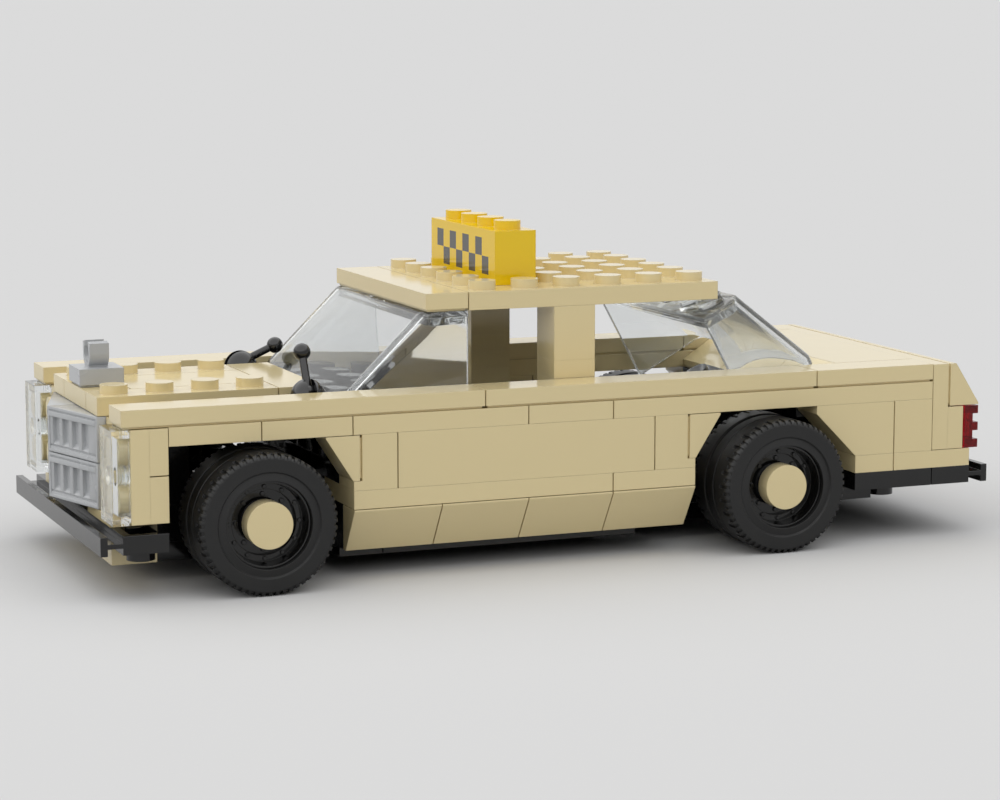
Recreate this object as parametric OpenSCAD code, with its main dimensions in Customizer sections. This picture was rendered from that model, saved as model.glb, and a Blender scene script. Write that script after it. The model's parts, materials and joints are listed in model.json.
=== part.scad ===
// Building block car: saloon on four free-rolling wheels, two swinging levers.
// Origin under the middle of the car on the floor, +X to the front, +Y to the
// car's left, +Z up.

/* [Grid] */
// stud pitch
pitch = 8; // [7.9:0.05:8.1]
// stud radius
stud_r = 2.4; // [2.35:0.01:2.45]
// stud height
stud_h = 1.6; // [1.5:0.05:1.8]
// gap kept on each side of a brick
play = 0.1; // [0.05:0.01:0.15]
// clearance round a stud in its socket
fit = 0.05; // [0.01:0.01:0.1]
// hair gap under each stacked piece
seam = 0.02; // [0.01:0.01:0.05]
// thickness of a brick's closed top
roof = 1.2; // [1:0.1:1.5]
// groove round the foot of a tile
groove = 0.4; // [0.3:0.05:0.5]

/* [Wheels] */
// tyre outside radius
tyre_r = 12; // [11.5:0.1:12]
// tyre width
tyre_w = 14; // [12:0.5:14]
// rim outside radius
rim_r = 8.2; // [8:0.1:9]
// axle pin radius
pin_r = 2.4; // [2.3:0.05:2.45]
// clearance of the pin in its hole
pin_fit = 0.05; // [0.01:0.01:0.1]
// hub cap radius
cap_r = 4; // [3.8:0.1:4.2]
// wheel face out from the car's middle plane
wheel_y = 36; // [35:0.5:36]

/* [Levers] */
// height of the hinge over the base's foot
lever_z = 2.9; // [2.7:0.1:3.2]
// hinge to ball centre
lever_l = 7.2; // [6:0.1:8]
// ball radius
ball_r = 1.5; // [1.3:0.1:1.7]
// rod radius
rod_r = 0.7; // [0.6:0.05:0.9]
// lean of the left lever at rest
lean_left = 27; // [0:1:60]
// lean of the right lever at rest
lean_right = 66.5; // [0:0.5:67]

/* [Windows] */
// lean of the rear window
window_tilt = 28.8; // [27:0.1:31]
// wall of the clear parts
glass = 1.2; // [1:0.1:1.5]

/* [Hidden] */
$fn = 48;
// Five plates stand as tall as two studs are wide, so sideways pieces meet.
plate_h = pitch * 2 / 5;
inner = pitch / 2 - stud_r - fit;
tube_r = pitch * sqrt(2) / 2 - stud_r - fit;
socket_r = stud_r + fit;
brick_h = 3 * plate_h;
half_step = plate_h / 2;
bracket_t = plate_h / 2;
nose = 2 * plate_h;
lip = plate_h / 2;
x_zero = 10 * pitch - 0.5;
y_zero = 4 * pitch;
// The axles turn in the holes of the beams, which lie two plates up.
axle_z = 2 * plate_h + brick_h - pitch / 2;
tan_beige = [0.87, 0.8, 0.6];
black = [0.1, 0.1, 0.1];
grey = [0.63, 0.65, 0.67];
yellow = [0.96, 0.75, 0.02];
clear = [0.9, 0.93, 0.95, 0.35];
red = [0.6, 0.05, 0.08, 0.7];
hub_y = wheel_y - tyre_w;

// Corner of the grid cell that ends at stud line i and row j, n plates up.
module at(i, j, n) {
  translate([x_zero - pitch * i, y_zero - pitch * j, plate_h * n]) children();
}

// Stack pointing forward: local z runs to the front, local x runs down.
module forward(x, y, z) {
  translate([x, y, z]) rotate([0, 90, 0]) children();
}

// Stack pointing to the rear: local z runs back, local x runs up.
module backward(x, y, z) {
  translate([x, y, z]) rotate([0, -90, 0]) children();
}

module both() {
  children();
  mirror([0, 1, 0]) children();
}

module stud(x, y, z) {
  translate([x, y, z - 0.2]) cylinder(r = stud_r, h = stud_h + 0.2);
}

module studs(a, b, h, first = 0) {
  for (i = [first : a - 1]) {
    for (j = [0 : b - 1]) {
      stud(pitch * (i + 0.5), pitch * (j + 0.5), h);
    }
  }
}

// Posts that grip the studs below: tubes in wide pieces, pins in narrow ones.
module grips(a, b, h) {
  translate([0, 0, seam]) posts(a, b, h - seam);
}

module posts(a, b, h) {
  if (a > 1 && b > 1) {
    for (i = [1 : a - 1]) {
      for (j = [1 : b - 1]) {
        translate([pitch * i, pitch * j, 0]) difference() {
          cylinder(r = tube_r, h = h);
          translate([0, 0, -1]) cylinder(r = socket_r, h = h + 1);
        }
      }
    }
  } else if (a > 1) {
    for (i = [1 : a - 1]) {
      translate([pitch * i, pitch / 2, 0]) cylinder(r = inner, h = h);
    }
  } else if (b > 1) {
    for (j = [1 : b - 1]) {
      translate([pitch / 2, pitch * j, 0]) cylinder(r = inner, h = h);
    }
  }
}

// Box of a x b studs, open below.
module shell(a, b, h) {
  difference() {
    translate([play, play, seam]) {
      cube([pitch * a - 2 * play, pitch * b - 2 * play, h - seam]);
    }
    translate([inner, inner, -1]) {
      cube([pitch * a - 2 * inner, pitch * b - 2 * inner, h - roof + 1]);
    }
  }
  grips(a, b, h - roof + 0.1);
}

module plate(a, b) {
  shell(a, b, plate_h);
  studs(a, b, plate_h);
}

module brick(a, b, h) {
  shell(a, b, h);
  studs(a, b, h);
}

// Thin ring taken off round the foot.
module foot_cut(a, b) {
  difference() {
    translate([-1, -1, -1]) cube([pitch * a + 2, pitch * b + 2, 1 + groove]);
    translate([play + groove, play + groove, -2]) {
      cube([pitch * a - 2 * play - 2 * groove,
            pitch * b - 2 * play - 2 * groove, 4]);
    }
  }
}

module tile(a, b) {
  difference() {
    shell(a, b, plate_h);
    foot_cut(a, b);
  }
}

// Small slope: high at local x = 0, b studs wide.
module slope(b) {
  w = pitch * b;
  difference() {
    translate([0, w - play, 0]) rotate([90, 0, 0]) {
      linear_extrude(w - 2 * play) {
        polygon([[play, seam], [pitch - play, seam], [pitch - play, lip],
                 [play + 0.3, nose], [play, nose]]);
      }
    }
    translate([0, w - inner, 0]) rotate([90, 0, 0]) {
      linear_extrude(w - 2 * inner) {
        polygon([[inner, -1], [pitch - inner, -1], [pitch - inner, stud_h + 0.02],
                 [inner + 1.6, nose - 2.6], [inner, nose - 2.6]]);
      }
    }
    foot_cut(1, b);
  }
  if (b > 1) {
    for (j = [1 : b - 1]) {
      translate([pitch / 2, pitch * j, seam]) cylinder(r = inner, h = 3);
    }
  }
}

// Front slope with four sunk slots: thick at local y = 0.
module grille() {
  w = 2 * pitch;
  rise = (nose - lip) / w;
  difference() {
    rotate([90, 0, 90]) translate([0, 0, play]) {
      linear_extrude(pitch - 2 * play) {
        polygon([[play, seam], [w - play, seam], [w - play, lip], [play, nose]]);
      }
    }
    for (j = [0, 1]) {
      translate([pitch / 2, pitch * (j + 0.5), -1]) {
        cylinder(r = socket_r, h = 1 + stud_h + 0.02);
      }
    }
    for (k = [0 : 3]) {
      translate([0, 2.35 + 3.15 * k, nose - rise * (2.35 + 3.15 * k)]) {
        rotate([-atan(rise), 0, 0]) {
          translate([2.1, -0.95, -0.45]) cube([4.6, 1.9, 2]);
        }
      }
    }
  }
  translate([1.45, 0, 0]) intersection() {
    translate([0, 0.9, nose - rise * 0.9]) rotate([-90 - atan(rise), 0, 0]) {
      cylinder(r = 0.35, h = 14.6);
    }
    translate([-1, play, 0]) cube([3, w - 2 * play, nose]);
  }
}

// Brick with one side set back and a stud on it; set back at high local x.
module side_brick() {
  set_back = pitch - half_step;
  difference() {
    translate([play, play, seam]) {
      cube([pitch - 2 * play, pitch - 2 * play, brick_h - seam]);
    }
    translate([set_back, -1, lip + fit]) cube([pitch, pitch + 2, brick_h]);
    translate([inner, inner, -1]) {
      cube([pitch - 2 * inner, pitch - 2 * inner, 1 + stud_h]);
    }
    translate([inner, inner, 0]) {
      cube([set_back - 2 * inner, pitch - 2 * inner, brick_h - roof]);
    }
  }
  stud(pitch / 2, pitch / 2, brick_h);
  translate([set_back - 0.2, pitch / 2, lip + pitch / 2]) rotate([0, 90, 0]) {
    cylinder(r = stud_r, h = stud_h + 0.2);
  }
}

module roof_plate() {
  color(tan_beige) at(14, 7, 14) plate(6, 6);
}

module roof_front_tile() {
  color(tan_beige) at(8, 7, 14) tile(1, 6);
}

module roof_sign() {
  color(yellow) at(10, 6, 15) brick(1, 4, brick_h);
}

module sill_tiles() {
  color(tan_beige) for (j = [1, 8]) {
    at(8, j, 9) tile(8, 1);
    at(16, j, 9) tile(8, 1);
    at(19, j, 9) tile(3, 1);
  }
}

module belt_plates() {
  color(tan_beige) for (j = [1, 8]) {
    at(3, j, 8) plate(2, 1);
    at(5, j, 8) plate(2, 1);
    at(9, j, 8) plate(4, 1);
    at(11, j, 8) plate(2, 1);
    at(19, j, 8) plate(8, 1);
  }
}

module door_bricks() {
  color(tan_beige) for (j = [1, 8]) at(12, j, 5) brick(6, 1, brick_h);
}

module side_stud_bricks() {
  color(tan_beige) for (j = [1, 8]) {
    at(6, j, 5) side_brick();
    at(13, j, 5) translate([pitch, 0, 0]) mirror([1, 0, 0]) side_brick();
  }
}

module arch_slopes() {
  z_top = 8 * plate_h;
  z_low = 5 * plate_h + lip;
  color(tan_beige) for (y = [y_zero - pitch, -y_zero]) {
    forward(x_zero - 5 * pitch - half_step, y, z_top) slope(1);
    backward(x_zero - 13 * pitch + half_step, y, z_low) {
      translate([pitch, 0, 0]) mirror([1, 0, 0]) slope(1);
    }
  }
}

module inverted_slope() {
  difference() {
    translate([0, pitch - play, 0]) rotate([90, 0, 0]) {
      linear_extrude(pitch - 2 * play) {
        polygon([[play, seam], [pitch - play, seam],
                 [2 * pitch - play, brick_h - 1.5],
                 [2 * pitch - play, brick_h], [play, brick_h]]);
      }
    }
    translate([inner, inner, -1]) {
      cube([pitch - 2 * inner, pitch - 2 * inner, brick_h - roof + 1]);
    }
    translate([pitch + 0.6, inner, brick_h - 4.6]) {
      cube([4, pitch - 2 * inner, 3.4]);
    }
  }
  studs(2, 1, brick_h);
}

module arch_inverted_slopes() {
  color(tan_beige) for (j = [1, 8]) at(18, j, 5) inverted_slope();
}

module rear_quarter_bricks() {
  color(tan_beige) for (j = [1, 8]) at(19, j, 5) brick(1, 1, brick_h);
}

module lower_side_plates() {
  color(tan_beige) {
    for (j = [2, 8]) {
      at(11, j, 4) plate(6, 2);
      at(13, j, 4) plate(2, 2);
    }
    for (j = [1, 8]) at(18, j, 4) plate(1, 1);
  }
}

module rear_lower_plate() {
  color(tan_beige) at(20, 8, 4) {
    shell(2, 8, plate_h);
    studs(2, 8, plate_h, 1);
  }
}

// Plate two studs long with a flange hanging down on its outer side.
module side_bracket() {
  shell(2, 1, plate_h);
  studs(2, 1, plate_h);
  difference() {
    translate([play, pitch - play - 0.2, plate_h - pitch + play]) {
      cube([2 * pitch - 2 * play, bracket_t + play + 0.2, pitch - play]);
    }
    translate([-1, 0, -10]) cube([2 * pitch + 2, pitch + 0.02, 10]);
  }
  for (i = [0, 1]) {
    translate([pitch * (i + 0.5), pitch + bracket_t - 0.2, plate_h - pitch / 2]) {
      rotate([-90, 0, 0]) cylinder(r = stud_r, h = stud_h + 0.2);
    }
  }
}

module rocker_brackets() {
  color(black) both() {
    for (i = [7, 9, 11, 13]) at(i, 2, 3) side_bracket();
  }
}

module rocker_slopes() {
  color(tan_beige) both() {
    for (i = [7, 9, 11, 13]) {
      translate([x_zero - pitch * (i - 2), y_zero - pitch + bracket_t, 4 * plate_h]) {
        rotate([-90, 0, 0]) rotate([0, 0, 90]) slope(2);
      }
    }
  }
}

module floor_plates() {
  color(black) {
    at(6, 7, 1) plate(1, 6);
    at(12, 7, 1) plate(6, 6);
    for (j = [2, 7]) {
      at(9, j, 2) plate(4, 1);
      at(13, j, 2) plate(4, 1);
    }
  }
}

// Beam with a round hole through every stud line.
module beam(a) {
  h = brick_h;
  difference() {
    union() {
      difference() {
        translate([play, play, seam]) {
          cube([pitch * a - 2 * play, pitch - 2 * play, h - seam]);
        }
        translate([inner, inner, -1]) {
          cube([pitch * a - 2 * inner, pitch - 2 * inner, h - roof + 1]);
        }
      }
      for (i = [1 : a - 1]) {
        translate([pitch * i, 1, h - pitch / 2]) rotate([-90, 0, 0]) {
          cylinder(r = 3.2, h = pitch - 2);
        }
      }
    }
    for (i = [1 : a - 1]) {
      translate([pitch * i, -1, h - pitch / 2]) rotate([-90, 0, 0]) {
        cylinder(r = pin_r + pin_fit, h = pitch + 2);
      }
    }
  }
  studs(a, 1, h);
}

module chassis_beams() {
  color(black) for (j = [3, 6]) at(16, j, 2) beam(14);
}

module cross_plates() {
  color(black) {
    at(7, 7, 5) plate(2, 6);
    at(11, 7, 5) plate(2, 6);
    at(13, 7, 5) plate(2, 6);
    at(16, 6, 5) plate(2, 4);
  }
}

module core_brick() {
  brick(1, 4, 5 * plate_h);
  for (j = [0 : 3]) {
    for (z = [pitch / 2, 3 * pitch / 2]) {
      translate([pitch - play - 0.2, pitch * (j + 0.5), z]) rotate([0, 90, 0]) {
        cylinder(r = stud_r, h = play + 0.2 + stud_h);
      }
    }
  }
}

module front_core_bricks() {
  color(black) at(2, 6, 4) core_brick();
}

module front_under_plates() {
  color(black) {
    at(2, 6, 3) plate(1, 4);
    at(2, 6, 2) plate(1, 4);
    at(5, 6, 1) plate(4, 4);
  }
}

module hood_support_plate() {
  color(black) {
    at(8, 7, 8) plate(6, 6);
    at(8, 6, 6) {
      shell(2, 4, 2 * plate_h);
      studs(2, 4, 2 * plate_h);
    }
  }
}

module front_plates() {
  x = x_zero - pitch;
  top = 9 * plate_h;
  color(tan_beige) {
    for (y = [y_zero - pitch, -y_zero]) {
      for (z = [top - pitch, top]) forward(x, y, z) plate(1, 1);
    }
    forward(x, y_zero - 5 * pitch, top) plate(2, 2);
    forward(x + plate_h, y_zero - 2 * pitch, top) plate(2, 2);
    forward(x + plate_h, y_zero - 6 * pitch, top) plate(2, 4);
    forward(x + plate_h, y_zero - 8 * pitch, top) plate(2, 2);
  }
}

// Upright plate with a shelf at its foot and studs under the shelf.
module front_bracket() {
  plate(2, 2);
  translate([2 * pitch - play - 0.2, play, seam]) {
    cube([bracket_t + play + 0.2, 2 * pitch - 2 * play, plate_h - seam]);
  }
  translate([2 * pitch + seam, play, seam]) {
    cube([bracket_t - seam, 2 * pitch - 2 * play, pitch - seam]);
  }
  for (j = [0, 1]) {
    translate([2 * pitch + bracket_t - 0.2, pitch * (j + 0.5), pitch / 2]) {
      rotate([0, 90, 0]) cylinder(r = stud_r, h = stud_h + 0.2);
    }
  }
}

module front_brackets() {
  color(tan_beige) {
    forward(x_zero - pitch, y_zero - 3 * pitch, 9 * plate_h) front_bracket();
    forward(x_zero - pitch, y_zero - 7 * pitch, 9 * plate_h) front_bracket();
  }
}

module headlamps() {
  x = x_zero - pitch + 2 * plate_h;
  color(clear) for (y = [y_zero - pitch, -y_zero]) {
    forward(x, y, 9 * plate_h) tile(2, 1);
  }
}

module grille_slopes() {
  x = x_zero - pitch + 2 * plate_h;
  color(grey) both() {
    for (z = [4 * plate_h + pitch, 9 * plate_h]) forward(x, 0, z) grille();
  }
}

// Plate with a rail along its outer side; the rail is at high local x.
module rail_plate() {
  plate(1, 8);
  translate([pitch - play - 0.2, play, plate_h / 2 - 0.4]) {
    cube([2.5 + play + 0.4, 8 * pitch - 2 * play, 0.8]);
  }
  translate([pitch + 2.5, play, 0]) cube([1.2, 8 * pitch - 2 * play, plate_h]);
}

module front_bumper() {
  color(black) translate([x_zero - pitch, y_zero, 3.5 * plate_h]) {
    rotate([180, 0, 0]) rail_plate();
  }
}

module front_bumper_tile() {
  color(tan_beige) translate([x_zero - pitch, y_zero - pitch, 2.5 * plate_h]) {
    rotate([180, 0, 0]) tile(1, 6);
  }
}

module hood_side_plates() {
  color(tan_beige) for (j = [3, 6]) at(4, j, 9) plate(4, 1);
}

module hood_jumper() {
  color(tan_beige) at(1, 5, 9) {
    shell(1, 2, plate_h);
    stud(pitch / 2, pitch, plate_h);
  }
}

module hood_tiles() {
  color(tan_beige) {
    at(4, 5, 9) tile(3, 2);
    at(5, 6, 9) tile(1, 4);
  }
}

// Tile with an open clip: straight fingers above the bore, round below.
module hood_ornament() {
  clip_z = plate_h + 2.3;
  clip_l = 3.4;
  clip_r = 2.45;
  color(grey) at(1, 4.5, 10) {
    tile(1, 1);
    translate([pitch / 2 - clip_l / 2, pitch / 2, clip_z]) rotate([0, 90, 0]) {
      difference() {
        union() {
          cylinder(r = clip_r, h = clip_l);
          translate([-1.9, -clip_r, 0]) cube([1.9, 2 * clip_r, clip_l]);
        }
        translate([0, 0, -1]) cylinder(r = 1.6 + fit, h = clip_l + 2);
        translate([-5, -1.2, -1]) cube([5, 2.4, clip_l + 2]);
      }
    }
    translate([pitch / 2 - clip_l / 2, pitch / 2 - 1.4, plate_h - 0.1]) {
      cube([clip_l, 2.8, 0.7]);
    }
  }
}

// Domed foot with a slot across it; the slot runs along local y.
module lever_base() {
  r = 3.05;
  top = 5.1;
  slot_w = 1.5;
  difference() {
    union() {
      cylinder(r = r, h = top - r);
      translate([0, 0, top - r]) sphere(r = r);
    }
    translate([0, 0, -10]) cylinder(r = 2 * r, h = 10);
    translate([0, 0, -1]) cylinder(r = socket_r, h = 1 + stud_h + 0.02);
    translate([-slot_w / 2, -5, lever_z - 1.05]) cube([slot_w, 10, 10]);
  }
  translate([-slot_w, 0, lever_z]) rotate([0, 90, 0]) {
    cylinder(r = 0.45, h = 2 * slot_w);
  }
}

// Rod and ball, hinge along local x, standing up.
module lever() {
  difference() {
    union() {
      translate([-0.7, 0, 0]) rotate([0, 90, 0]) cylinder(r = 1, h = 1.4);
      cylinder(r = rod_r, h = lever_l);
      translate([0, 0, lever_l]) sphere(r = ball_r);
    }
    translate([-2, 0, 0]) rotate([0, 90, 0]) cylinder(r = 0.45 + fit, h = 4);
  }
}

module lever_foot(side) {
  translate([x_zero - 4.5 * pitch, side * 2.5 * pitch, 9 * plate_h]) children();
}

module lever_bases() {
  color(black) {
    lever_foot(1) lever_base();
    lever_foot(-1) rotate([0, 0, 90]) lever_base();
  }
}

module lever_left() {
  color(black) lever_foot(1) {
    translate([0, 0, lever_z]) rotate([lean_left, 0, 0]) lever();
  }
}

module lever_right() {
  color(black) lever_foot(-1) {
    translate([0, 0, lever_z]) rotate([0, -lean_right, 0]) rotate([0, 0, 90]) lever();
  }
}

// Side outline of a clear part stretched across the car, x back and z up.
module across(w, gap) {
  translate([0, w - gap, 0]) rotate([90, 0, 0]) linear_extrude(w - 2 * gap) {
    children();
  }
}

module windscreen() {
  w = 6 * pitch;
  h = 5 * plate_h;
  d = 3 * pitch;
  color(clear) at(8, 7, 9) {
    difference() {
      across(w, play) {
        polygon([[play, seam], [d - play, seam], [d - play, 0.8],
                 [pitch + 0.3, h - 0.4], [pitch - 0.2, h], [play, h]]);
      }
      across(w, glass + play) {
        polygon([[-1, -1], [d - 1.55, -1], [d - 1.55, stud_h + 0.05],
                 [d - 2.65, stud_h + 0.05], [pitch - 0.6, h - 1.5],
                 [-1, h - 1.5]]);
      }
    }
    studs(1, 6, h);
  }
}

module pillars() {
  color(tan_beige) for (j = [2, 7]) {
    at(11, j, 11) brick(1, 1, brick_h);
    for (n = [8 : 10]) at(11, j, n) plate(1, 1);
    at(11, j, 6) brick(1, 1, 2 * plate_h);
  }
}

// Frame of the tilted window: local x back along its foot, z up its front.
module window_frame() {
  translate([x_zero - 14.8 * pitch, 3 * pitch, 7 * plate_h + 2.1]) {
    rotate([0, window_tilt, 0]) rotate([0, 0, 180]) children();
  }
}

module rear_window() {
  w = 6 * pitch;
  h = 6 * plate_h;
  d = 2 * pitch;
  color(clear) window_frame() {
    difference() {
      across(w, play) {
        polygon([[play, seam], [d - play, seam], [d - play, 1.6],
                 [pitch + 0.4, h - 0.6], [pitch - 0.2, h], [play, h]]);
      }
      across(w, glass + play) {
        polygon([[-1, -1], [d - 1.55, -1], [d - 1.55, 1.7],
                 [pitch - 0.9, h - 2.8], [-1, h - 2.8]]);
      }
    }
    studs(1, 6, h);
  }
}

module rear_window_carrier() {
  color(black) {
    at(16, 5, 6) shell(2, 2, plate_h);
    window_frame() {
      translate([play, 2 * pitch + play, -plate_h]) {
        cube([pitch - 2 * play, 2 * pitch - 2 * play, plate_h]);
      }
      for (j = [2, 3]) stud(pitch / 2, pitch * (j + 0.5), 0);
    }
    translate([x_zero - 15 * pitch, pitch - play, 7 * plate_h]) rotate([90, 0, 0]) {
      linear_extrude(2 * pitch - 2 * play) {
        polygon([[-0.2, -0.4], [-6.9, -0.4], [-6.9, 3.5], [-1.5, 1.2]]);
      }
    }
  }
}

module deck_tile() {
  color(tan_beige) at(19, 7, 9) tile(2, 6);
}

module deck_slopes() {
  color(tan_beige) for (j = [3, 5, 7]) {
    at(17, j, 8) slope(2);
  }
}

module rear_core_bricks() {
  color(black) {
    at(18, 7, 4) brick(1, 6, brick_h);
    at(18, 7, 7) plate(2, 6);
    at(19, 7, 5) {
      brick(1, 6, brick_h);
      for (j = [0 : 5]) {
        translate([play + 0.2, pitch * (j + 0.5), pitch / 2]) rotate([0, -90, 0]) {
          cylinder(r = stud_r, h = play + 0.2 + stud_h);
        }
      }
    }
    at(19, 7, 8) plate(2, 6);
  }
}

module tail_plates() {
  x = x_zero - 19 * pitch;
  color(tan_beige) {
    backward(x, -y_zero, 5 * plate_h) plate(2, 8);
    backward(x - plate_h, -y_zero, 5 * plate_h) plate(1, 8);
  }
}

module tail_slopes() {
  x = x_zero - 19 * pitch - plate_h;
  color(tan_beige) for (k = [0 : 3]) {
    backward(x, -y_zero + 2 * pitch * k, 5 * plate_h + pitch) slope(2);
  }
}

// Flat lamp two studs long with three ribs.
module lamp() {
  difference() {
    shell(1, 2, plate_h);
    for (k = [0, 1]) {
      translate([1.65 + 3.15 * k, -1, 2.1]) cube([1.6, 2 * pitch + 2, 3]);
    }
    foot_cut(1, 2);
  }
}

module tail_lamps() {
  x = x_zero - 19 * pitch - 2 * plate_h;
  color(red) for (y = [-y_zero, y_zero - 2 * pitch]) {
    backward(x, y, 5 * plate_h) lamp();
  }
}

module tail_centre_tile() {
  x = x_zero - 19 * pitch - 2 * plate_h;
  color(tan_beige) backward(x, -2 * pitch, 5 * plate_h) tile(1, 4);
}

module rear_bumper() {
  color(black) {
    at(19, 8, 3) plate(2, 8);
    at(20, 8, 3) translate([pitch, 0, 0]) mirror([1, 0, 0]) rail_plate();
  }
}

// Half plate with a stud above and a stud below.
module two_way_stud() {
  translate([play, play, half_step]) {
    cube([pitch - 2 * play, pitch - 2 * play, plate_h - half_step]);
  }
  stud(pitch / 2, pitch / 2, plate_h);
  translate([pitch / 2, pitch / 2, half_step - stud_h]) {
    cylinder(r = stud_r, h = stud_h + 0.2);
  }
}

module rear_under_plates() {
  color(black) {
    at(18, 7, 2) plate(1, 6);
    at(17, 6, 2) plate(1, 4);
    at(17, 6, 1) plate(4, 4);
    for (j = [2, 7]) at(19, j, 2) two_way_stud();
  }
}

module wheel_place(i, side) {
  translate([x_zero - pitch * i, 0, axle_z]) mirror([0, side, 0]) children();
}

// Plain pin with a bush between the beam and the wheel.
module axle_pin() {
  beam_y = 2 * pitch;
  translate([0, pitch + 0.3, 0]) rotate([-90, 0, 0]) {
    cylinder(r = pin_r, h = hub_y + 9.2 - pitch - 0.3);
  }
  translate([0, beam_y - 0.05, 0]) rotate([-90, 0, 0]) {
    cylinder(r = pin_r + 0.9, h = hub_y + 0.5 - beam_y + 0.05);
  }
}

module axle_pins() {
  color(black) for (i = [3, 15]) {
    for (side = [0, 1]) wheel_place(i, side) axle_pin();
  }
}

// Ring turned about the axle: outline as radius and distance out.
module turned(i, side) {
  wheel_place(i, side) translate([0, hub_y, 0]) rotate([-90, 0, 0]) children();
}

module rim() {
  hole = pin_r + pin_fit;
  rotate_extrude() {
    polygon([[hole, 0.6], [hole + 1.3, 0.6], [hole + 1.3, 8], [7.1, 8],
             [7.1, 1.5], [rim_r, 1.5], [rim_r, tyre_w - 1.5],
             [7.4, tyre_w - 1.5], [7.4, tyre_w - 0.9], [7, tyre_w - 0.9],
             [6.7, 10.6], [5.6, 10.6], [5.6, 9.6], [3.7, 9.6], [3.7, 10.8],
             [stud_r, 10.8], [stud_r, 10.8 + stud_h], [0, 10.8 + stud_h],
             [0, 9.3], [hole, 9.3]]);
  }
  for (k = [0 : 7]) {
    rotate([0, 0, 45 * k]) translate([4.7, 0, 9.5]) cylinder(r = 0.4, h = 0.5);
  }
  for (k = [0 : 11]) {
    rotate([0, 0, 30 * k]) translate([6.1, 0, 10.5]) cylinder(r = 0.35, h = 0.5);
  }
}

module tyre() {
  blocks = 22;
  difference() {
    rotate_extrude() {
      polygon([[7.45, 0], [11.4, 0], [tyre_r, 0.7], [tyre_r, 6.2], [11.2, 6.5],
               [11.2, 7.5], [tyre_r, 7.8], [tyre_r, tyre_w - 0.7],
               [11.4, tyre_w], [9, tyre_w], [8.8, tyre_w - 0.3],
               [7.45, tyre_w - 0.1], [7.45, tyre_w - 1.5],
               [rim_r, tyre_w - 1.5], [rim_r, 1.5], [7.45, 1.5]]);
    }
    for (k = [0 : blocks - 1]) {
      rotate([0, 0, 360 / blocks * k]) {
        translate([tyre_r - 0.9, -0.6, tyre_w - 3.6]) cube([2, 1.2, 5]);
      }
      rotate([0, 0, 360 / blocks * (k + 0.5)]) {
        translate([tyre_r - 0.9, -0.6, -1.4]) cube([2, 1.2, 5]);
      }
    }
  }
}

module cap() {
  difference() {
    translate([0, 0, 10.8]) cylinder(r = cap_r, h = tyre_w - 10.8);
    translate([0, 0, 10]) cylinder(r = socket_r, h = 0.8 + stud_h + 0.02);
  }
}

module rim_front_left() {
  color(black) turned(3, 0) rim();
}

module tyre_front_left() {
  color(black) turned(3, 0) tyre();
}

module cap_front_left() {
  color(tan_beige) turned(3, 0) cap();
}

module rim_front_right() {
  color(black) turned(3, 1) rim();
}

module tyre_front_right() {
  color(black) turned(3, 1) tyre();
}

module cap_front_right() {
  color(tan_beige) turned(3, 1) cap();
}

module rim_rear_left() {
  color(black) turned(15, 0) rim();
}

module tyre_rear_left() {
  color(black) turned(15, 0) tyre();
}

module cap_rear_left() {
  color(tan_beige) turned(15, 0) cap();
}

module rim_rear_right() {
  color(black) turned(15, 1) rim();
}

module tyre_rear_right() {
  color(black) turned(15, 1) tyre();
}

module cap_rear_right() {
  color(tan_beige) turned(15, 1) cap();
}

roof_plate();
roof_front_tile();
roof_sign();
sill_tiles();
belt_plates();
door_bricks();
side_stud_bricks();
arch_slopes();
arch_inverted_slopes();
rear_quarter_bricks();
lower_side_plates();
rear_lower_plate();
rocker_brackets();
rocker_slopes();
floor_plates();
chassis_beams();
cross_plates();
front_core_bricks();
front_under_plates();
hood_support_plate();
front_plates();
front_brackets();
headlamps();
grille_slopes();
front_bumper();
front_bumper_tile();
hood_side_plates();
hood_jumper();
hood_tiles();
hood_ornament();
lever_bases();
lever_left();
lever_right();
windscreen();
pillars();
rear_window();
rear_window_carrier();
deck_tile();
deck_slopes();
rear_core_bricks();
tail_plates();
tail_slopes();
tail_lamps();
tail_centre_tile();
rear_bumper();
rear_under_plates();
axle_pins();
rim_front_left();
rim_front_right();
rim_rear_left();
rim_rear_right();
tyre_front_left();
tyre_front_right();
tyre_rear_left();
tyre_rear_right();
cap_front_left();
cap_front_right();
cap_rear_left();
cap_rear_right();
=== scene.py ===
import bpy, bmesh, json, math
from mathutils import Vector, Matrix


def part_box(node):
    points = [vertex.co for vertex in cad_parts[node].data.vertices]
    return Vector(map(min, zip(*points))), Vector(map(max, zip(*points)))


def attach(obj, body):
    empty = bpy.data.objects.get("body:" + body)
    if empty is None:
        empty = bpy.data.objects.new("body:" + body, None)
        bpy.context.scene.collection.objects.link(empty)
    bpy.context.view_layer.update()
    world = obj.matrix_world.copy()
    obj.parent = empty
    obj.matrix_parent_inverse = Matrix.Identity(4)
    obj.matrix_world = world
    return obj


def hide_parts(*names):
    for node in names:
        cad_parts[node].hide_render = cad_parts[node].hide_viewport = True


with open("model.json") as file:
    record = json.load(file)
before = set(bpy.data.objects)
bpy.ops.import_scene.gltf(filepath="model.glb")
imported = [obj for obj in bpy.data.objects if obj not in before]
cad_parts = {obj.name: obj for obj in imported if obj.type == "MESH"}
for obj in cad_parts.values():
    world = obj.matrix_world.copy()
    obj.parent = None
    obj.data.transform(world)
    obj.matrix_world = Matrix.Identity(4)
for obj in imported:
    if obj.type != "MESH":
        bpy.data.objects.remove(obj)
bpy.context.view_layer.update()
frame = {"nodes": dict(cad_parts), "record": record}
nodes = frame["nodes"]
mm = 0.001


def toLinear(hexCode):
    parts = [int(hexCode[i:i + 2], 16) / 255 for i in (1, 3, 5)]
    return [p / 12.92 if p <= 0.04045 else ((p + 0.055) / 1.055) ** 2.4 for p in parts] + [1.0]


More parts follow.
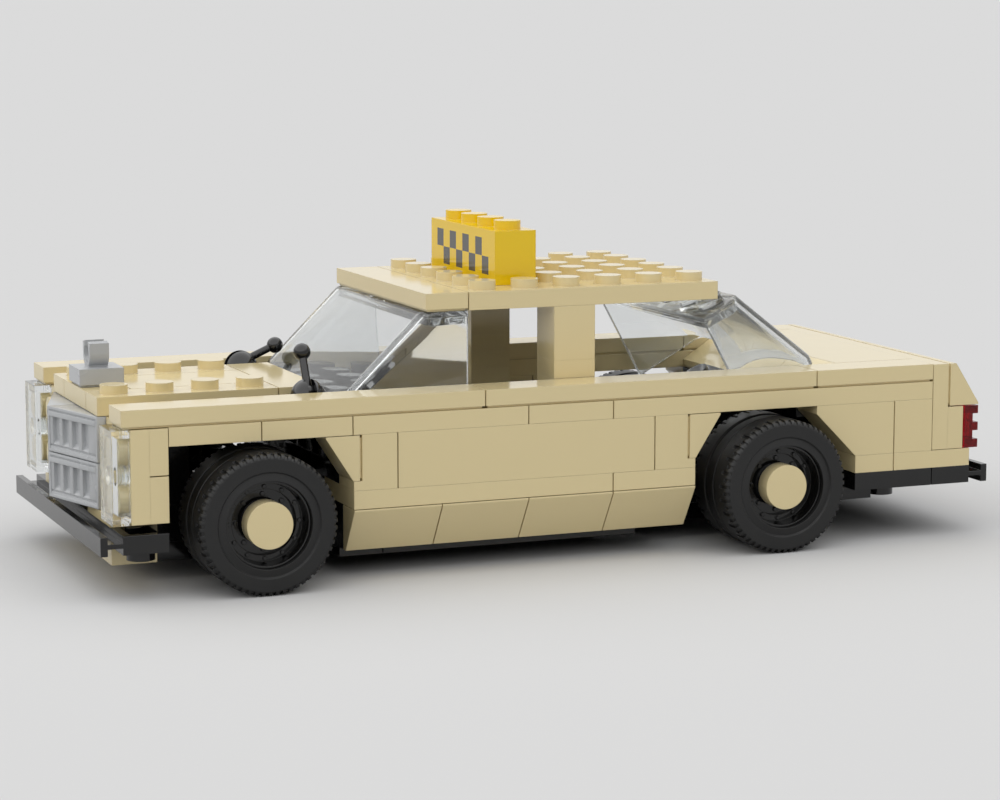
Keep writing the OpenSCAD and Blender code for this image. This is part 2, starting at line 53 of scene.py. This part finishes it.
def addNode(tree, kind, settings=None, links=None):
    node = tree.nodes.new(kind)
    for key, value in (settings or {}).items():
        if isinstance(key, int) or key in node.inputs:
            node.inputs[key].default_value = value
        else:
            setattr(node, key, value)
    for key, source in (links or {}).items():
        tree.links.new(source, node.inputs[key])
    return node


plastic = {
    "tanColour": "#DCCB9C",      # warm sand shade of the body bricks
    "blackColour": "#121212",
    "greyColour": "#ADAFB1",
    "yellowColour": "#E8C40C",
    "clearColour": "#F3F5F5",
    "redColour": "#C42430",
    "rubberColour": "#0B0B0B",
    "gloss": 0.12,               # roughness that polished mould walls leave
    "blackGloss": 0.1,
    "blackBend": 1.48,
    "satin": 0.24,               # grey pieces come from a duller mould
    "rubberDull": 0.5,
    "clearBend": 1.46,           # how strongly the clear pieces bend what is behind them
    "clearShare": 0.06,          # share of the light that goes straight on through the wall
    "redRough": 0.05,
    "redBend": 1.4,
    "redShare": 0.15,
    "absBend": 1.53,
    "rubberBend": 1.45,
    "edgeRound": 0.18,           # mm, the radius a mould leaves on an edge
    "rubberEdge": 0.25,
    "flowScale": 140.0,          # melt flow marks about 7 mm long
    "flowDepth": 0.1,            # mm
    "flowStrength": 0.02,
}


signBand = {
    "inkColour": "#4A4A48",      # dull grey printing ink
    "square": 3.2,               # mm, side of one square
    "front": 7.35,               # printed only ahead of this x
    "low": 49.6,                 # heights of the band
    "high": 56.0,
    "reach": 12.8,               # half its width
}


def inkBand(tree, place, colour):
    side, low, high = signBand["square"] * mm, signBand["low"] * mm, signBand["high"] * mm
    axes = addNode(tree, "ShaderNodeSeparateXYZ", None, {"Vector": place.outputs["Object"]})
    made = dict(zip("xyz", axes.outputs))
    for name, operation, first, second in (
            ("fromLeft", "ADD", "y", 40 * side),           # keeps the count of columns above zero
            ("columns", "DIVIDE", "fromLeft", side),
            ("column", "FLOOR", "columns", 0.0),
            ("fromLow", "SUBTRACT", "z", low),
            ("rows", "DIVIDE", "fromLow", side),
            ("row", "FLOOR", "rows", 0.0),
            ("both", "ADD", "column", "row"),
            ("odd", "MODULO", "both", 2.0),
            ("dark", "GREATER_THAN", "odd", 0.5),
            ("ahead", "GREATER_THAN", "x", signBand["front"] * mm),
            ("aside", "ABSOLUTE", "y", 0.0),
            ("within", "LESS_THAN", "aside", signBand["reach"] * mm),
            ("above", "GREATER_THAN", "z", low),
            ("below", "LESS_THAN", "z", high),
            ("onFace", "MULTIPLY", "ahead", "within"),
            ("inHeight", "MULTIPLY", "above", "below"),
            ("inBand", "MULTIPLY", "onFace", "inHeight"),
            ("mask", "MULTIPLY", "dark", "inBand")):
        step = addNode(tree, "ShaderNodeMath", {"operation": operation}, {0: made[first]})
        if isinstance(second, str):
            tree.links.new(made[second], step.inputs[1])
        else:
            step.inputs[1].default_value = second
        made[name] = step.outputs[0]
    shades = {"data_type": "RGBA", 6: toLinear(colour), 7: toLinear(signBand["inkColour"])}
    ink = addNode(tree, "ShaderNodeMix", shades, {0: made["mask"]})
    return ink.outputs[2]


def mouldedPlastic(name, colour, rough, bend=plastic["absBend"], clear=0.0,
                   edge=plastic["edgeRound"], printed=False):
    mat = bpy.data.materials.new(name)
    mat.use_nodes = True
    tree = mat.node_tree
    tree.nodes.clear()
    place = addNode(tree, "ShaderNodeTexCoord")
    flow = addNode(tree, "ShaderNodeTexNoise", {"Scale": plastic["flowScale"], "Detail": 2.0},
                   {"Vector": place.outputs["Object"]})
    rub = addNode(tree, "ShaderNodeMapRange",
                  {"From Min": 0.35, "From Max": 0.65, "To Min": rough * 0.85, "To Max": rough * 1.2},
                  {"Value": flow.outputs["Fac"]})
    softEdge = addNode(tree, "ShaderNodeBevel", {"samples": 4, "Radius": edge * mm})
    skin = addNode(tree, "ShaderNodeBump",
                   {"Strength": plastic["flowStrength"], "Distance": plastic["flowDepth"] * mm},
                   {"Height": flow.outputs["Fac"], "Normal": softEdge.outputs["Normal"]})
    shader = addNode(tree, "ShaderNodeBsdfPrincipled",
                     {"IOR": bend, "Base Color": toLinear(colour), "Transmission Weight": 1.0 if clear else 0.0},
                     {"Roughness": rub.outputs["Result"], "Normal": skin.outputs["Normal"]})
    surface = shader.outputs["BSDF"]
    if printed:
        tree.links.new(inkBand(tree, place, colour), shader.inputs["Base Color"])
    if clear:
        through = addNode(tree, "ShaderNodeBsdfTransparent", {"Color": toLinear(colour)})
        share = addNode(tree, "ShaderNodeMixShader", {0: clear}, {1: surface, 2: through.outputs["BSDF"]})
        surface = share.outputs["Shader"]
    addNode(tree, "ShaderNodeOutputMaterial", None, {"Surface": surface})
    return mat


finishes = {
    # ABS, injection moulded: bright even gloss with faint flow marks
    "tan_abs": mouldedPlastic("tanAbsMoulded", plastic["tanColour"], plastic["gloss"]),
    # the same, soaks up light and shows only its sheen
    "black_abs": mouldedPlastic("blackAbsMoulded", plastic["blackColour"], plastic["blackGloss"],
                                plastic["blackBend"]),
    # cool mid grey with a soft sheen
    "grey_abs": mouldedPlastic("greyAbsMoulded", plastic["greyColour"], plastic["satin"]),
    # warm glossy yellow, with a printed band of squares on its front
    "yellow_abs": mouldedPlastic("yellowAbsMoulded", plastic["yellowColour"], plastic["gloss"], printed=True),
    # polycarbonate: clear, bright at its edges, bends what is behind it
    "clear_plastic": mouldedPlastic("clearPolycarbonateMoulded", plastic["clearColour"], 0.0,
                                    plastic["clearBend"], plastic["clearShare"]),
    # tinted polycarbonate: deep red that glows where it is thin
    "red_plastic": mouldedPlastic("redPolycarbonateMoulded", plastic["redColour"], plastic["redRough"],
                                  plastic["redBend"], plastic["redShare"]),
    # vulcanised rubber: dull, with soft edges
    "tyre_rubber": mouldedPlastic("blackRubberMoulded", plastic["rubberColour"], plastic["rubberDull"],
                                  plastic["rubberBend"], edge=plastic["rubberEdge"]),
}
for part in frame["record"]["subparts"]:
    node = nodes[part["node"]]
    for holder in node.material_slots:
        holder.material = finishes[part["material_slot"]]
print("finishes on the bricks: done")


def clearSelection():
    if bpy.context.object and bpy.context.object.mode != "OBJECT":
        bpy.ops.object.mode_set(mode="OBJECT")
    bpy.ops.object.select_all(action="DESELECT")


def takeUp(piece):
    clearSelection()
    piece.select_set(True)
    bpy.context.view_layer.objects.active = piece


def applyPlace():
    bpy.ops.object.transform_apply(location=True, rotation=True, scale=True)


def startPiece(name):
    piece = bpy.context.object
    piece.name = name
    piece.data.name = name
    applyPlace()
    return piece


def pick(kind, test):
    bpy.ops.mesh.select_mode(type=kind)
    bpy.ops.mesh.select_all(action="DESELECT")
    mesh = bmesh.from_edit_mesh(bpy.context.object.data)
    for part in mesh.faces if kind == "FACE" else mesh.edges:
        part.select_set(test(part))
    bmesh.update_edit_mesh(bpy.context.object.data)


def pushOut(step):
    bpy.ops.mesh.extrude_region_move(TRANSFORM_OT_translate={"value": step})


def cutAt(place, across):
    bpy.ops.mesh.select_all(action="SELECT")
    bpy.ops.mesh.bisect(plane_co=place, plane_no=across, threshold=0.000001)


def cutOff(place, outward):
    bpy.ops.mesh.select_all(action="SELECT")
    bpy.ops.mesh.bisect(plane_co=place, plane_no=outward, clear_outer=True, use_fill=True, threshold=0.000001)


def weld(distance):
    bpy.ops.mesh.select_all(action="SELECT")
    bpy.ops.mesh.remove_doubles(threshold=distance)


def addModifier(piece, kind, settings):
    modifier = piece.modifiers.new(kind, kind)
    for key, value in settings.items():
        setattr(modifier, key, value)
    bpy.context.view_layer.objects.active = piece
    bpy.ops.object.modifier_apply(modifier=modifier.name)


def finishPiece(piece, body, slot, replaced):
    takeUp(piece)
    bpy.ops.object.mode_set(mode="EDIT")
    bpy.ops.mesh.select_all(action="SELECT")
    bpy.ops.mesh.dissolve_degenerate(threshold=0.000001)
    bpy.ops.mesh.normals_make_consistent(inside=False)
    bpy.ops.object.mode_set(mode="OBJECT")
    bpy.ops.object.shade_smooth_by_angle(angle=math.radians(35))
    piece.data.materials.clear()
    piece.data.materials.append(finishes[slot])
    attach(piece, body)
    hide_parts(replaced)
    clearSelection()


def copyPiece(piece, name, place):
    takeUp(piece)
    bpy.ops.object.duplicate()
    twin = bpy.context.object
    twin.matrix_world = place
    applyPlace()
    twin.name = name
    twin.data.name = name
    return twin


tyreShape = {
    "width": 14.0,               # mm
    "blocks": 30,                # tread blocks round each shoulder
    "steps": 8,                  # faces round one block
    "shortSteps": (1, 2),        # where the short notch of a block lies
    "longSteps": (5, 6),
    "notchDepth": 0.32,
    "notchFrom": 11.35,          # radius above which a notch cuts
    "shortReach": 1.25,          # mm in from the side of the tyre
    "longReach": 2.6,
    # outline of the tyre: radius, distance from the inner side
    "profile": ((7.45, 0.1), (8.8, 0.3), (9.0, 0.0), (11.05, 0.0), (11.3, 0.0), (11.75, 0.25), (12.0, 0.7),
                (12.0, 1.25), (12.0, 2.6), (12.0, 4.9), (11.85, 5.1), (11.2, 5.15), (11.2, 5.65),
                (11.75, 5.7), (11.85, 5.8), (11.85, 8.2), (11.75, 8.3), (11.2, 8.35), (11.2, 8.85),
                (11.85, 8.9), (12.0, 9.1), (12.0, 11.4), (12.0, 12.75), (12.0, 13.3),
                (11.75, 13.75), (11.3, 14.0), (11.05, 14.0), (9.0, 14.0), (8.8, 13.7), (7.45, 13.9),
                (7.45, 12.5), (8.2, 12.5), (8.2, 1.5), (7.45, 1.5)),
}


def makeTyre(name):
    shape = tyreShape
    outline = shape["profile"]
    blockAngle = 2 * math.pi / shape["blocks"]
    clearSelection()
    radius, out = outline[0]
    bpy.ops.mesh.primitive_plane_add(size=0.001, location=(0, out * mm, radius * mm))
    tyre = startPiece(name)
    bpy.ops.object.mode_set(mode="EDIT")
    bpy.ops.mesh.select_mode(type="VERT")
    bpy.ops.mesh.select_all(action="SELECT")
    bpy.ops.mesh.merge(type="CENTER")                      # one point, drawn out along the outline
    for (r0, y0), (r1, y1) in zip(outline, outline[1:] + outline[:1]):
        pushOut((0, (y1 - y0) * mm, (r1 - r0) * mm))
    weld(0.000002)
    bpy.ops.mesh.spin(steps=shape["steps"], angle=blockAngle, center=(0, 0, 0), axis=(0, 1, 0))

    for steps, reach in ((shape["shortSteps"], shape["shortReach"]), (shape["longSteps"], shape["longReach"])):
        for inner in (False, True):
            def onNotch(face):
                middle = face.calc_center_median() / mm
                step = int(abs(math.atan2(middle.x, middle.z)) / blockAngle * shape["steps"])
                if inner:
                    step += shape["steps"] // 2            # the inner shoulder is half a block ahead
                away = middle.y if inner else shape["width"] - middle.y
                return (step % shape["steps"] in steps and away < reach and
                        math.hypot(middle.x, middle.z) > shape["notchFrom"])
            pick("FACE", onNotch)
            bpy.ops.mesh.extrude_region_shrink_fatten(
                TRANSFORM_OT_shrink_fatten={"value": -shape["notchDepth"] * mm})
    bpy.ops.mesh.select_all(action="SELECT")
    bpy.ops.mesh.spin(steps=shape["blocks"], angle=2 * math.pi, center=(0, 0, 0), axis=(0, 1, 0), dupli=True)
    weld(0.000004)
    bpy.ops.object.mode_set(mode="OBJECT")
    return tyre


studShape = {
    "radius": 2.4,               # mm
    "height": 1.6,
    "root": 0.1,                 # sunk into the piece below
    "rim": 0.15,
    "crown": 0.06,               # how far the middle stands above the rim
    "pitch": 8.0,
}


def addStuds(piece, count, height):
    bpy.ops.object.select_all(action="DESELECT")
    tall = studShape["height"] + studShape["root"]
    studs = []
    for k in range(count):
        place = (studShape["pitch"] / 2, studShape["pitch"] * (k + 0.5), height + studShape["height"] - tall / 2)
        bpy.ops.mesh.primitive_cylinder_add(vertices=48, radius=studShape["radius"] * mm, depth=tall * mm,
                                            location=Vector(place) * mm)
        bpy.ops.object.mode_set(mode="EDIT")
        pick("FACE", lambda face: face.normal.z > 0.9)
        bpy.ops.mesh.inset(thickness=studShape["rim"] * mm, depth=0)
        bpy.ops.transform.translate(value=(0, 0, studShape["crown"] * mm))
        bpy.ops.object.mode_set(mode="OBJECT")
        studs.append(bpy.context.object)
    for part in studs + [piece]:
        part.select_set(True)
    bpy.context.view_layer.objects.active = piece
    bpy.ops.object.join()


clearShapes = {
    "width": 48.0,               # mm, six studs
    "sideGap": 0.1,              # free space to the neighbours
    "footGap": 0.02,
    "wall": 1.2,
    "edgeRound": 0.16,
    "topRound": 0.45,            # along the top edge of the pane
    "blockRim": 0.25,
    "topBlock": 1.3,             # how far the stud row hangs below the top wall
    "windscreen": {"round": 1.95, "length": 23.8, "height": 15.98, "foot": 0.8, "shoulder": 8.3,
                   "place": (15.5, -24.0, 28.8), "tilt": 0.0},
    "rearWindow": {"round": 2.7, "length": 15.8, "height": 19.18, "foot": 1.6, "shoulder": 8.2,
                   "place": (-38.9, 24.0, 24.5), "tilt": 28.8},
}


def makeClearHood(name, shape, turned):
    clear = clearShapes
    length, height, wide = shape["length"] * mm, shape["height"] * mm, clear["width"] * mm
    gap, lift = clear["sideGap"] * mm, clear["footGap"] * mm
    clearSelection()
    bpy.ops.mesh.primitive_cube_add(size=1, location=(gap + length / 2, wide / 2, lift + height / 2),
                                    scale=(length, wide - 2 * gap, height))
    hood = startPiece(name)
    bpy.ops.object.mode_set(mode="EDIT")
    low = Vector((gap + length, 0, shape["foot"] * mm))
    high = Vector((shape["shoulder"] * mm, 0, lift + height))
    along = high - low
    cutOff(low, Vector((along.z, 0, -along.x)).normalized())
    pick("EDGE", lambda edge: all(f.normal.x > 0.05 or abs(f.normal.y) > 0.9 for f in edge.link_faces) and
         any(abs(f.normal.y) > 0.9 for f in edge.link_faces))
    bpy.ops.mesh.bevel(offset=shape["round"] * mm, segments=6, affect="EDGES")    # along the pillars
    pick("EDGE", lambda edge: any(f.normal.z > 0.95 for f in edge.link_faces) and
         edge.calc_face_angle(0) > 0.3 and all(v.co.x > 1 * mm for v in edge.verts))
    bpy.ops.mesh.bevel(offset=clear["topRound"] * mm, segments=3, affect="EDGES")
    pick("FACE", lambda face: face.normal.x < -0.9 or face.normal.z < -0.9)
    bpy.ops.mesh.delete(type="FACE")
    bpy.ops.object.mode_set(mode="OBJECT")
    addModifier(hood, "SOLIDIFY", {"thickness": clear["wall"] * mm, "offset": -1.0, "use_even_offset": True})
    bpy.ops.object.mode_set(mode="EDIT")
    inside = height + lift - clear["wall"] * mm
    pick("FACE", lambda face: face.normal.z < -0.9 and abs(face.calc_center_median().z - inside) < 0.1 * mm)
    bpy.ops.mesh.inset(thickness=clear["blockRim"] * mm, depth=0)
    pushOut((0, 0, -clear["topBlock"] * mm))
    bpy.ops.object.mode_set(mode="OBJECT")
    addModifier(hood, "BEVEL", {"width": clear["edgeRound"] * mm, "segments": 2, "limit_method": "ANGLE",
                                "angle_limit": math.radians(40)})
    addStuds(hood, 6, shape["height"])
    hood.matrix_world = (Matrix.Translation(Vector(shape["place"]) * mm) @
                         Matrix.Rotation(math.radians(shape["tilt"]), 4, "Y") @
                         Matrix.Rotation(math.radians(180) if turned else 0, 4, "Z"))
    applyPlace()
    return hood


grilleShape = {
    "width": 16.0,               # mm, laid flat: along y
    "height": 8.0,               # along x
    "thick": 6.4,                # at the middle of the car
    "thin": 1.6,                 # at the outer end
    "gap": 0.1,                  # free space to the neighbours
    "backGap": 0.02,             # the back lies this far behind the solid's
    "rim": 0.5,                  # frame round the panel
    "sunk": 0.18,                # depth of the panel
    "barTop": 0.85,              # bar across the top, mm down from the top edge
    "barRise": 0.1,              # how far it stands above the rim
    "slots": 4,
    "slotStart": 1.4,            # first slot, from the thick end
    "slotPitch": 3.12,
    "slotWide": 2.1,
    "slotTop": 1.75,
    "slotFloor": 5.85,           # where the slot's floor ends
    "slotFoot": 6.65,            # where its sloping foot meets the face
    "slotDeep": 0.72,            # the sockets behind leave no more
    "lineFoot": 6.95,            # fine line under the slots
    "lineDeep": 0.2,
    "edgeRound": 0.16,
    "socketRadius": 2.45,
    "socketDeep": 1.62,
}


def makeGrille(name):
    shape = grilleShape
    wide, tall, thick, gap = shape["width"], shape["height"], shape["thick"], shape["gap"]
    clearSelection()
    bpy.ops.mesh.primitive_cube_add(size=1, location=(tall / 2 * mm, wide / 2 * mm, thick / 2 * mm),
                                    scale=((tall - 2 * gap) * mm, (wide - 2 * gap) * mm, thick * mm))
    grille = startPiece(name)
    outward = Vector((0, (thick - shape["thin"]) / wide, 1)).normalized()
    face0 = Vector((0, 0, thick * mm))

    def depthOf(point):
        return (face0 - point).dot(outward) / mm

    def onPanel(face, top, foot):
        middle = face.calc_center_median()
        return (face.normal.dot(outward) > 0.99 and top < middle.x / mm < foot and
                abs(depthOf(middle) - shape["sunk"]) < 0.02)

    def inSlot(face):
        along = face.calc_center_median().y / mm - shape["slotStart"]
        return (onPanel(face, shape["slotTop"], shape["slotFoot"]) and
                0 < along < (shape["slots"] - 1) * shape["slotPitch"] + shape["slotWide"] and
                along % shape["slotPitch"] < shape["slotWide"])

    def onBar(face):
        middle = face.calc_center_median() / mm
        return (face.normal.dot(outward) > 0.99 and shape["barTop"] < middle.x < shape["slotTop"] and
                shape["rim"] < middle.y - gap < wide - 2 * gap - shape["rim"])

    def onSlotFoot(edge):
        return all(abs(v.co.x / mm - shape["slotFoot"]) < 0.01 and
                   abs(depthOf(v.co) - shape["sunk"] - shape["slotDeep"]) < 0.01 for v in edge.verts)

    bpy.ops.object.mode_set(mode="EDIT")
    cutOff(face0, outward)
    pick("FACE", lambda face: face.normal.dot(outward) > 0.99)
    bpy.ops.mesh.inset(thickness=shape["rim"] * mm, depth=0)
    pushOut(outward * -shape["sunk"] * mm)
    for at in (shape["barTop"], shape["slotTop"], shape["slotFoot"], shape["lineFoot"]):
        cutAt((at * mm, 0, 0), (1, 0, 0))
    for k in range(shape["slots"]):
        for edge in (0, shape["slotWide"]):
            cutAt((0, (shape["slotStart"] + shape["slotPitch"] * k + edge) * mm, 0), (0, 1, 0))
    pick("FACE", inSlot)
    pushOut(outward * -shape["slotDeep"] * mm)
    pick("EDGE", onSlotFoot)                               # lean the foot of each slot, so that it catches light
    bpy.ops.transform.translate(value=((shape["slotFloor"] - shape["slotFoot"]) * mm, 0, 0))
    for rise in (shape["sunk"], shape["barRise"]):         # the bar: up to the rim, then a little higher
        pick("FACE", onBar)
        pushOut(outward * rise * mm)
        weld(0.000001)
        pick("FACE", lambda face: any(edge.is_boundary for edge in face.edges))
        bpy.ops.mesh.delete(type="FACE")                   # the walls where bar and rim have grown together
    pick("FACE", lambda face: onPanel(face, shape["slotFoot"], shape["lineFoot"]))
    pushOut(outward * -shape["lineDeep"] * mm)
    bpy.ops.mesh.select_all(action="SELECT")
    bpy.ops.mesh.dissolve_limited(angle_limit=math.radians(0.5))
    bpy.ops.object.mode_set(mode="OBJECT")
    addModifier(grille, "BEVEL", {"width": shape["edgeRound"] * mm, "segments": 2, "limit_method": "ANGLE",
                                  "angle_limit": math.radians(30)})
    for y in (4, 12):
        bpy.ops.mesh.primitive_cylinder_add(vertices=48, radius=shape["socketRadius"] * mm,
                                            depth=2 * shape["socketDeep"] * mm, location=(4 * mm, y * mm, 0))
        cutter = bpy.context.object
        addModifier(grille, "BOOLEAN", {"object": cutter, "operation": "DIFFERENCE", "solver": "EXACT"})
        takeUp(cutter)
        bpy.ops.object.delete()
    return grille


def buildPieces():
    for name, key, turned, node in (("windscreenClear", "windscreen", False, "windscreen"),
                                    ("rearWindowClear", "rearWindow", True, "rear_window")):
        hood = makeClearHood(name, clearShapes[key], turned)
        finishPiece(hood, "car", "clear_plastic", node)
    print("clear windows: done")

    grille = makeGrille("grilleMaster")
    low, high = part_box("grille_slopes")
    for row, drop in (("Upper", 0), ("Lower", grilleShape["height"])):
        top = high.z + (grilleShape["gap"] - drop) * mm
        for word, side in (("Left", 1), ("Right", -1)):
            place = (Matrix.Translation((low.x - grilleShape["backGap"] * mm, 0, top)) @
                     Matrix.Diagonal((1, side, 1, 1)) @
                     Matrix.Rotation(math.radians(90), 4, "Y"))
            finishPiece(copyPiece(grille, "grille" + row + word, place), "car", "grey_abs", "grille_slopes")
    bpy.data.objects.remove(grille)
    print("grille: done")

    tyre = makeTyre("tyreMaster")
    for end in ("front", "rear"):
        for word, side in (("left", 1), ("right", -1)):
            where = end + "_" + word
            low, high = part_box("tyre_" + where)
            middle = (low + high) / 2
            inner = low.y if side > 0 else high.y
            place = Matrix.Translation((middle.x, inner, middle.z)) @ Matrix.Diagonal((1, side, 1, 1))
            finishPiece(copyPiece(tyre, "tyre" + end.capitalize() + word.capitalize(), place),
                        "wheel_" + where, "tyre_rubber", "tyre_" + where)
    bpy.data.objects.remove(tyre)
    print("tyres: done")


buildPieces()

studio = {
    "backdrop": "#DDDDDD",
    "floorColour": "#CFCFCF",
    "ambient": 0.08,             # even light from all round
    "shine": 0.85,               # white walls, seen only in reflections
    "keyStrength": 3.4,
    "keySoftness": 135.0,        # degrees across the lamp
    "keyAim": (13.0, 0.0, 112.0),
}


def makeStudio():
    world = bpy.data.worlds.new("studio")
    bpy.context.scene.world = world
    world.use_nodes = True
    tree = world.node_tree
    tree.nodes.clear()
    white = (1, 1, 1, 1)
    path = addNode(tree, "ShaderNodeLightPath")
    seen = addNode(tree, "ShaderNodeMath", {"operation": "MAXIMUM"},
                   {0: path.outputs["Is Camera Ray"], 1: path.outputs["Is Transmission Ray"]})
    back = addNode(tree, "ShaderNodeBackground", {"Strength": 1.0, "Color": toLinear(studio["backdrop"])})
    shine = addNode(tree, "ShaderNodeBackground", {"Strength": studio["shine"], "Color": white})
    soft = addNode(tree, "ShaderNodeBackground", {"Strength": studio["ambient"], "Color": white})
    lit = addNode(tree, "ShaderNodeMixShader", None,
                  {0: path.outputs["Is Glossy Ray"], 1: soft.outputs[0], 2: shine.outputs[0]})
    mix = addNode(tree, "ShaderNodeMixShader", None, {0: seen.outputs[0], 1: lit.outputs[0], 2: back.outputs[0]})
    addNode(tree, "ShaderNodeOutputWorld", None, {"Surface": mix.outputs[0]})
    lamp = bpy.data.lights.new("keyLamp", "SUN")
    lamp.energy = studio["keyStrength"]
    lamp.angle = math.radians(studio["keySoftness"])
    lampObject = bpy.data.objects.new("keyLamp", lamp)
    lampObject.rotation_euler = [math.radians(a) for a in studio["keyAim"]]
    bpy.context.collection.objects.link(lampObject)
    bpy.ops.mesh.primitive_plane_add(size=40, location=(0, 0, 0))
    floor = bpy.context.object
    floor.name = "studioFloor"
    mat = bpy.data.materials.new("paintedFloor")           # matt paint: takes the shadow, no reflection
    mat.use_nodes = True
    shader = mat.node_tree.nodes["Principled BSDF"]
    shader.inputs["Base Color"].default_value = toLinear(studio["floorColour"])
    shader.inputs["Roughness"].default_value = 0.9
    shader.inputs["Specular IOR Level"].default_value = 0.0
    floor.data.materials.append(mat)


makeStudio()

cameraAt = {"yaw": 0.3824, "pitch": -0.1483, "place": (0.191312, 0.475568, 0.101567), "lens": 101.5}


def makeCamera():
    yaw, pitch = cameraAt["yaw"], cameraAt["pitch"]
    look = Vector((-math.sin(yaw) * math.cos(pitch), -math.cos(yaw) * math.cos(pitch), math.sin(pitch)))
    right = Vector((-math.cos(yaw), math.sin(yaw), 0))
    up = right.cross(look)
    data = bpy.data.cameras.new("photoCamera")
    data.lens = cameraAt["lens"]
    data.sensor_width = 36
    data.clip_start = 0.01
    camera = bpy.data.objects.new("photoCamera", data)
    turn = Matrix((right, up, -look)).transposed().to_4x4()
    camera.matrix_world = Matrix.Translation(cameraAt["place"]) @ turn
    bpy.context.collection.objects.link(camera)
    bpy.context.scene.camera = camera


makeCamera()
bpy.context.scene.view_settings.view_transform = "Standard"
print("studio and camera: done")
